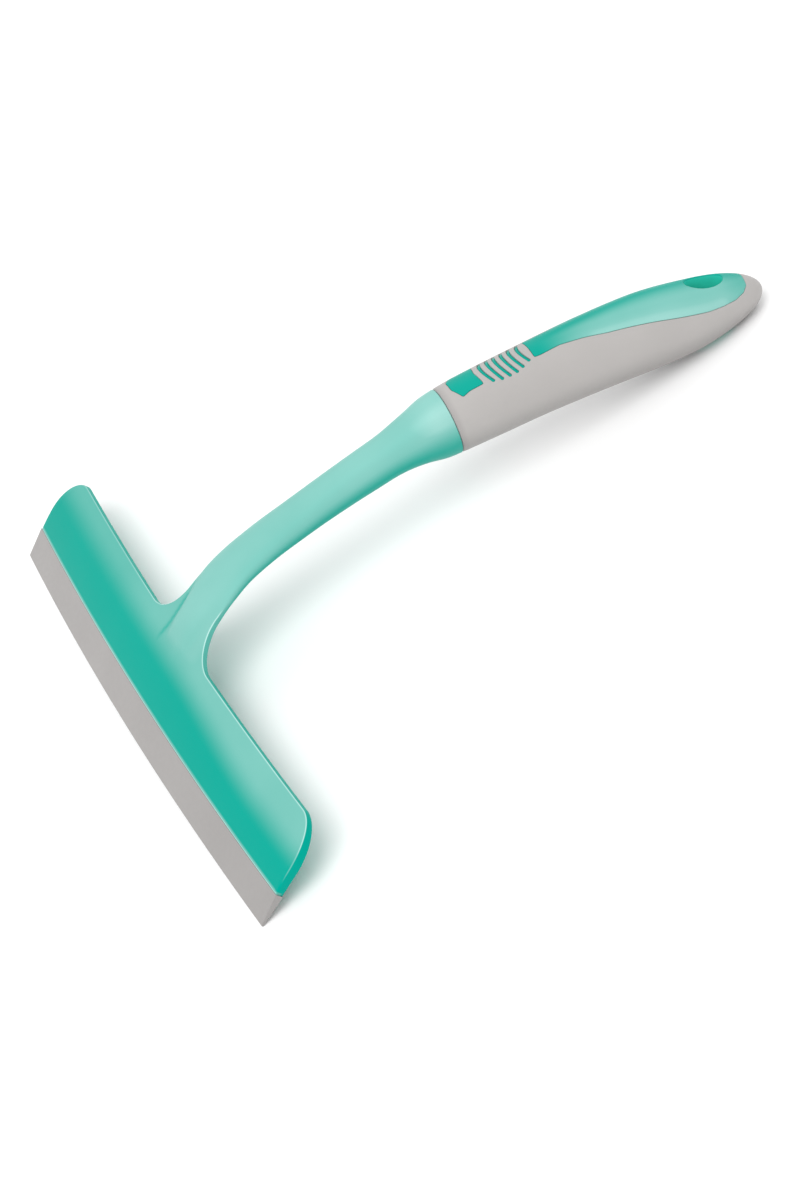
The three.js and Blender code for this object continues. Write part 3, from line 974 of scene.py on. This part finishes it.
def makeRibs(material):
    s = ribs
    mesh = bpy.data.meshes.new("ribLines")
    points, edges = [], []
    for k in range(len(slots["middle"])):
        line = slotLine(k, s["points"])
        line[:, 1] *= s["lengthShare"]
        first = len(points)
        points += ((onSkin(line[:, 0], line[:, 1], s["crest"] - s["halfDepth"]) + place) * mm).tolist()
        edges += [(first + i, first + i + 1) for i in range(s["points"] - 1)]
    mesh.from_pydata(points, edges, [])
    carrier = bpy.data.objects.new("ribLines", mesh)
    bpy.context.scene.collection.objects.link(carrier)
    values = {"Half width": s["halfWidth"] * mm, "Half depth": s["halfDepth"] * mm, "Around": s["around"]}
    return applyTree(carrier, ribTree(material), values, "thumb_ribs")


# painted light and shade: how pale or dark the finishes are painted over the pieces, as painted highlights
# and painted shade;
# a pair is where a change starts and ends, across the object, up the plate, round the handle in degrees or
# along the middle line
headLightPaint = {
    "plate": 0.36,
    "plateFrom": 13,
    "plateOver": 12,
    "plateFromDrop": 4,
    "plateDropAcross": (10, 90),
    "plateGain": 0.26,
    "plateGainAcross": (-70, 30),
    "root": 0.74,
    "rootUp": (17, 27),
    "rootLeft": (-13, -5),
    "rootRight": (34, 12),
    "crease": 0.75,
    "creaseAt": -10.2,
    "creaseWidth": 0.9,
    "creaseStarts": (18, 24),
    "creaseEnds": (46, 38),
    "gleam": 0.5,
    "gleamDeep": (0.0, 0.1),
    "gleamShallow": (0.34, 0.2),
    "gleamStarts": (4, 10),
    "gleamEnds": (50, 42),
    "rimDeep": (0.2, 0.38),
    "rimKept": 0.55,
    "rimKeptAcross": (30, 20),
    "seam": 0.9,
    "seamUp": (0.9, 0.5),
    "seamDeep": (0.9, 0.5),
    "neck": 0.73,
    "neckSide": 0.05,
    "neckSideTurn": (30, 64),
    "neckUnder": 0.62,
    "neckUnderTurn": (66, 112),
    "collar": 0.05,
    "collarAlong": (128, 142),
    "collarSide": 0.1,
    "collarSideStarts": (10, 48),
    "collarSideEnds": (84, 66),
}
coreLightPaint = {
    "panel": 0.03,
    "panelAlong": (184, 206),
    "right": 0.62,
    "rightAcross": (-0.2, 0.45),
    "rightEdge": 0.16,
    "rightEdgeAcross": (0.5, 0.9),
    "left": 0.3,
    "leftAcross": (0.3, 1.0),
    "tail": 0.4,
    "tailAlong": (252, 264),
    "wallFrom": 240,
    "wallShare": 0.95,
}
softLook = {
    "bladeEnd": 0.2,
    "bladeAcross": (-20, 110),
    "gripUnder": 0.75,
    "gripUnderTurn": (88, 130),
    "gripFront": 0.5,
    "gripFrontAlong": (150.0, 147.5),
}


def paint(piece, name, rule):
    # stores a rule's value for every point of a piece, for its material to read
    where = np.empty(len(piece.data.vertices) * 3)
    piece.data.vertices.foreach_get("co", where)
    points = where.reshape(-1, 3) / mm - place
    y = np.maximum(sectionOf(points), head["seamAt"])
    x, up = inSection(points, y)
    height = up * np.maximum(halfHeight(y), tiny)
    values = rule(points[:, 0], y, height, np.degrees(np.arctan2(x, up)))
    layer = piece.data.attributes.new(name, "FLOAT", "POINT")
    layer.data.foreach_set("value", np.clip(values, 0, 1))


def headPaintedLight(x, y, t, angle):
    # painted highlights and painted shade over the moulding: the plate painted paler away from the blade, at
    # the neck's root, along its edges and the seam, and darker in the crease, on the edges' sides and under
    # the neck
    s = headLightPaint
    share = (x / head["halfLength"]) ** 2
    y = y - head["bowUp"] * share * math.cos(tilt)
    t = t - head["bowOut"] * share
    u = upPlate(y)
    start = s["plateFrom"] - s["plateFromDrop"] * smoothStep(*s["plateDropAcross"], x)
    plate = smoothStep(start, start + s["plateOver"], u)
    plate = plate * (s["plate"] + s["plateGain"] * smoothStep(*s["plateGainAcross"], x))
    root = smoothStep(*s["rootUp"], u) * smoothStep(*s["rootLeft"], x) * smoothStep(*s["rootRight"], x)
    plate = np.maximum(plate, s["root"] * root)
    crease = np.exp(-((x - s["creaseAt"]) / s["creaseWidth"]) ** 2)
    crease = crease * smoothStep(*s["creaseStarts"], u) * smoothStep(*s["creaseEnds"], u)
    plate = plate * (1 - s["crease"] * crease)
    # how far under the front face a point lies
    late = neckShare(y)
    ovalY = np.maximum(y, handle["ovalFrom"])
    wide = np.maximum(halfWidth(ovalY), np.abs(x))
    oval = halfHeight(ovalY) * np.sqrt(1 - (x / wide) ** 2)
    below = headFaces(x, y)[0] * (1 - late) + oval * late - t
    gleam = smoothStep(*s["gleamDeep"], below) * smoothStep(*s["gleamShallow"], below)
    gleam = gleam * smoothStep(*s["gleamStarts"], u) * smoothStep(*s["gleamEnds"], u)
    kept = s["rimKept"] * smoothStep(*s["rimKeptAcross"], np.abs(x))
    plate = plate * (1 - smoothStep(*s["rimDeep"], below) * (1 - kept)) + gleam * s["gleam"]
    seam = s["seam"] * smoothStep(*s["seamUp"], u) * smoothStep(*s["seamDeep"], below)
    plate = np.maximum(plate, seam)
    turned = np.abs(angle)
    side = s["collarSide"] * smoothStep(*s["collarSideStarts"], turned)
    side = side * smoothStep(*s["collarSideEnds"], turned)
    collar = smoothStep(*s["collarAlong"], y) * (s["collar"] + side)
    neck = s["neck"] - s["neckSide"] * smoothStep(*s["neckSideTurn"], turned)
    neck = neck - s["neckUnder"] * smoothStep(*s["neckUnderTurn"], turned) + collar
    return plate * (1 - late) + neck * late


def holeWall(x, y, t):
    # true for points on the wall of the hanging hole
    inward = np.hypot(x / halfWidth(y), t / halfHeight(y))
    return (inward < coreLightPaint["wallShare"]) & (y > coreLightPaint["wallFrom"])


def corePaintedLight(x, y, t, angle):
    # painted highlights: the panel is deep teal in front and painted paler along its sides behind
    s = coreLightPaint
    edges = np.array(openings["panel"][2:-1])
    edge = np.interp(y, edges[:, 0], edges[:, 1])
    near = np.clip(angle / edge, -1, 1)
    side = s["right"] * smoothStep(*s["rightAcross"], near)
    side = side + s["rightEdge"] * smoothStep(*s["rightEdgeAcross"], near)
    side = side + s["left"] * smoothStep(*s["leftAcross"], -near)
    painted_light = smoothStep(*s["panelAlong"], y) * side * (1 - s["tail"] * smoothStep(*s["tailAlong"], y))
    return np.where(holeWall(x, y, t), 0.0, s["panel"] + painted_light)


def paintedHoleLight(x, y, t, angle):
    # a painted glow on the hanging hole's wall, standing in for light on it
    return np.where(holeWall(x, y, t), 1.0, 0.0)


def bladeShade(x, y, t, angle):
    # the lip looks a little darker towards one end
    return softLook["bladeEnd"] * smoothStep(*softLook["bladeAcross"], x)


def gripShade(x, y, t, angle):
    # the underside and the front roll of the grip look a little darker
    s = softLook
    under = s["gripUnder"] * smoothStep(*s["gripUnderTurn"], np.abs(angle))
    return under + s["gripFront"] * smoothStep(*s["gripFrontAlong"], y)


def newMaterial(name):
    material = bpy.data.materials.new(name)
    material.use_nodes = True
    return material, material.node_tree, material.node_tree.nodes["Principled BSDF"]


def noiseOf(tree, coords, scale, detail=3.0):
    noise = addNode(tree, "ShaderNodeTexNoise")
    noise.inputs["Scale"].default_value = scale
    noise.inputs["Detail"].default_value = detail
    tree.links.new(coords, noise.inputs["Vector"])
    return noise.outputs["Fac"]


def mixColours(tree, share, first, second):
    # sockets 6 and 7 are the node's two colours, and output 2 is the mixed one
    mix = addNode(tree, "ShaderNodeMix", data_type="RGBA")
    tree.links.new(share, mix.inputs["Factor"])
    for socket, value in ((mix.inputs[6], first), (mix.inputs[7], second)):
        if isinstance(value, tuple):
            socket.default_value = (*value, 1)
        else:
            tree.links.new(value, socket)
    return mix.outputs[2]


def spreadNoise(tree, noise, low, high):
    # the middle of a noise's values, spread smoothly from low to high
    node = addNode(tree, "ShaderNodeMapRange", interpolation_type="SMOOTHSTEP")
    tree.links.new(noise, node.inputs["Value"])
    for name, number in (("From Min", 0.3), ("From Max", 0.7), ("To Min", low), ("To Max", high)):
        node.inputs[name].default_value = number
    return node.outputs["Result"]


def addGrain(tree, shader, height, look):
    # a fine bump over the whole finish
    bump = addNode(tree, "ShaderNodeBump")
    bump.inputs["Strength"].default_value = look["bump"]
    bump.inputs["Distance"].default_value = look["bumpDepth"]
    tree.links.new(height, bump.inputs["Height"])
    tree.links.new(bump.outputs[0], shader.inputs["Normal"])


def addRoughness(tree, shader, coords, look):
    noise = noiseOf(tree, coords, look["roughScale"])
    low, high = (look["roughness"] + part for part in look["roughSpread"])
    tree.links.new(spreadNoise(tree, noise, low, high), shader.inputs["Roughness"])


# the ramp from deep through light to pale teal holds painted shade and painted highlights, and the hole
# wall's colour is painted light
teal = {
    "deep": (0.000, 0.335, 0.264),
    "light": (0.22, 0.50, 0.45),
    "pale": (0.50, 0.74, 0.70),
    "lightAt": 0.75,
    "shade": (0.000, 0.28, 0.22),
    "hole_light": (0.04, 0.62, 0.49),  # the lit wall of the hanging hole
    "flowScale": 22.0,
    "flow": 0.18,
    "roughness": 0.36,
    "roughSpread": (-0.03, 0.04),
    "roughScale": 60.0,
    "grain": 900.0,
    "bump": 0.04,
    "bumpDepth": 0.0001,
    "ior": 1.49,
    "specular": 0.1,
    "specularTint": (0.0, 1.0, 0.9),
}
rubber = {
    "grip": (0.405, 0.387, 0.376),
    "blade": (0.33, 0.316, 0.309),
    "flowScale": 30.0,
    "flow": 0.5,
    "flowDarkens": 0.9,
    "shadeDarkens": 0.68,
    "roughness": 0.62,
    "roughSpread": (-0.06, 0.06),
    "roughScale": 500.0,
    "grain": 2600.0,
    "grainDetail": 4.0,
    "bump": 0.12,
    "bumpDepth": 0.00015,
    "ior": 1.45,
    "sheen": 0.15,
    "sheenRoughness": 0.5,
}


def tealPlastic(name):
    # glossy moulded plastic; its colour carries painted highlights and painted shade, and a painted glow on
    # the hanging hole's wall
    material, tree, shader = newMaterial(name)
    coords = addNode(tree, "ShaderNodeTexCoord").outputs["Object"]
    # painted light and shade: 0 gives the deep teal of painted shade, 1 the pale teal of a painted highlight
    painted_light = addNode(tree, "ShaderNodeAttribute", attribute_name="painted_light").outputs["Fac"]
    ramp = addNode(tree, "ShaderNodeValToRGB")
    tree.links.new(painted_light, ramp.inputs["Fac"])
    ramp.color_ramp.elements[0].color = (*teal["deep"], 1)
    ramp.color_ramp.elements[1].color = (*teal["pale"], 1)
    ramp.color_ramp.elements.new(teal["lightAt"]).color = (*teal["light"], 1)
    base = ramp.outputs["Color"]
    flow = spreadNoise(tree, noiseOf(tree, coords, teal["flowScale"]), 0.0, teal["flow"])
    base = mixColours(tree, flow, base, teal["shade"])
    # painted glow on the hanging hole's wall
    hole_light = addNode(tree, "ShaderNodeAttribute", attribute_name="hole_light").outputs["Fac"]
    tree.links.new(mixColours(tree, hole_light, base, teal["hole_light"]), shader.inputs["Base Color"])
    addRoughness(tree, shader, coords, teal)
    addGrain(tree, shader, noiseOf(tree, coords, teal["grain"]), teal)
    shader.inputs["IOR"].default_value = teal["ior"]
    shader.inputs["Specular IOR Level"].default_value = teal["specular"]
    shader.inputs["Specular Tint"].default_value = (*teal["specularTint"], 1)
    return material


def softRubber(name, colour):
    # matte rubber-like overmould with a fine eroded grain
    material, tree, shader = newMaterial(name)
    coords = addNode(tree, "ShaderNodeTexCoord").outputs["Object"]
    flow = spreadNoise(tree, noiseOf(tree, coords, rubber["flowScale"]), 0.0, rubber["flow"])
    base = mixColours(tree, flow, colour, tuple(rubber["flowDarkens"] * part for part in colour))
    shade = addNode(tree, "ShaderNodeAttribute", attribute_name="shade").outputs["Fac"]
    base = mixColours(tree, shade, base, tuple(rubber["shadeDarkens"] * part for part in colour))
    tree.links.new(base, shader.inputs["Base Color"])
    addRoughness(tree, shader, coords, rubber)
    addGrain(tree, shader, noiseOf(tree, coords, rubber["grain"], rubber["grainDetail"]), rubber)
    shader.inputs["IOR"].default_value = rubber["ior"]
    shader.inputs["Sheen Weight"].default_value = rubber["sheen"]
    shader.inputs["Sheen Roughness"].default_value = rubber["sheenRoughness"]
    return material


print("materials")
tealFinish = tealPlastic("teal_plastic_finish")
gripRubber = softRubber("grip_rubber_finish", rubber["grip"])
bladeRubber = softRubber("blade_rubber_finish", rubber["blade"])

print("head and neck")
headPiece = makeHead()
headPiece.data.materials.append(tealFinish)
# paints highlights and shade into the moulding's colour
paint(headPiece, "painted_light", headPaintedLight)
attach(headPiece, "handle")
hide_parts("head_and_neck")

print("wiper blade")
bladePiece = makeBlade(bladeRubber)
paint(bladePiece, "shade", bladeShade)
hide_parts("wiper_blade")


def onPlateLine(u):
    # a point in the middle of the blade's thickness, in metres
    away = np.array([0, u * math.cos(tilt), u * math.sin(tilt)])
    return tuple((onSpine(alongPlate(0.0)) + away + place) * mm)


onPlateLine(-3.5)
onPlateLine(-8.0)
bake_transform(bladePiece)

print("handle core")
corePiece = makeCore()
corePiece.data.materials.append(tealFinish)
ribPiece = makeRibs(tealFinish)
for piece in (corePiece, ribPiece):
    # paints highlights on the panel and a glow on the hole's wall into the colour
    paint(piece, "painted_light", corePaintedLight)
    paint(piece, "hole_light", paintedHoleLight)
    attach(piece, "handle")
    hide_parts("handle_core")

print("grip sleeve")
gripPiece = makeGrip()
gripPiece.data.materials.append(gripRubber)
paint(gripPiece, "shade", gripShade)
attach(gripPiece, "handle")
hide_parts("grip_sleeve")

print("floor, light and camera")
studio = {
    "floorSize": 16.0,
    "floorColour": (0.93, 0.93, 0.93),
    "floorRoughness": 0.9,
    "worldStrength": 0.85,
    "keyPower": 54.0,
    "keySize": 2.2,
    "keyPlace": (1.3, -0.8, 2.8),
    "fillPower": 19.0,
    "fillSize": 3.0,
    "fillPlace": (-2.2, 1.2, 2.4),
    "lightsAimAt": (0, 0, 0.02),
}
floorMesh = bpy.data.meshes.new("studio_floor")
reach = studio["floorSize"] / 2
floorCorners = [(-reach, -reach, 0), (reach, -reach, 0), (reach, reach, 0), (-reach, reach, 0)]
floorMesh.from_pydata(floorCorners, [], [(0, 1, 2, 3)])
floor = bpy.data.objects.new("studio_floor", floorMesh)
bpy.context.scene.collection.objects.link(floor)
floorMaterial, _, floorShader = newMaterial("studio_paper")
floorShader.inputs["Base Color"].default_value = (*studio["floorColour"], 1)
floorShader.inputs["Roughness"].default_value = studio["floorRoughness"]
floorShader.inputs["Specular IOR Level"].default_value = 0.0
floorMesh.materials.append(floorMaterial)

world = bpy.data.worlds.new("studio")
bpy.context.scene.world = world
world.use_nodes = True
background = world.node_tree.nodes["Background"]
background.inputs["Color"].default_value = (1, 1, 1, 1)
background.inputs["Strength"].default_value = studio["worldStrength"]


def addLight(name, power, size, where):
    light = bpy.data.lights.new(name, "AREA")
    light.shape = "SQUARE"
    light.size = size
    light.energy = power
    lamp = bpy.data.objects.new(name, light)
    lamp.location = where
    aim = Vector(studio["lightsAimAt"]) - Vector(where)
    lamp.rotation_euler = aim.to_track_quat("-Z", "Y").to_euler()
    bpy.context.scene.collection.objects.link(lamp)


addLight("key", studio["keyPower"], studio["keySize"], studio["keyPlace"])
addLight("fill", studio["fillPower"], studio["fillSize"], studio["fillPlace"])
bpy.context.scene.view_settings.view_transform = "Standard"

view = {
    "place": (0.9586, -0.0973, 0.7727),
    "target": (0.0237, -0.0340, -0.0006),
    "roll": -31.86,
    "lens": 101.5,
    "sensor": 36,
}
cameraData = bpy.data.cameras.new("camera")
cameraData.lens = view["lens"]
cameraData.sensor_width = view["sensor"]
camera = bpy.data.objects.new("camera", cameraData)
camera.location = view["place"]
aim = (Vector(view["target"]) - Vector(view["place"])).to_track_quat("-Z", "Y")
camera.rotation_euler = (aim.to_matrix() @ Matrix.Rotation(math.radians(view["roll"]), 3, "Z")).to_euler()
bpy.context.scene.collection.objects.link(camera)
bpy.context.scene.camera = camera
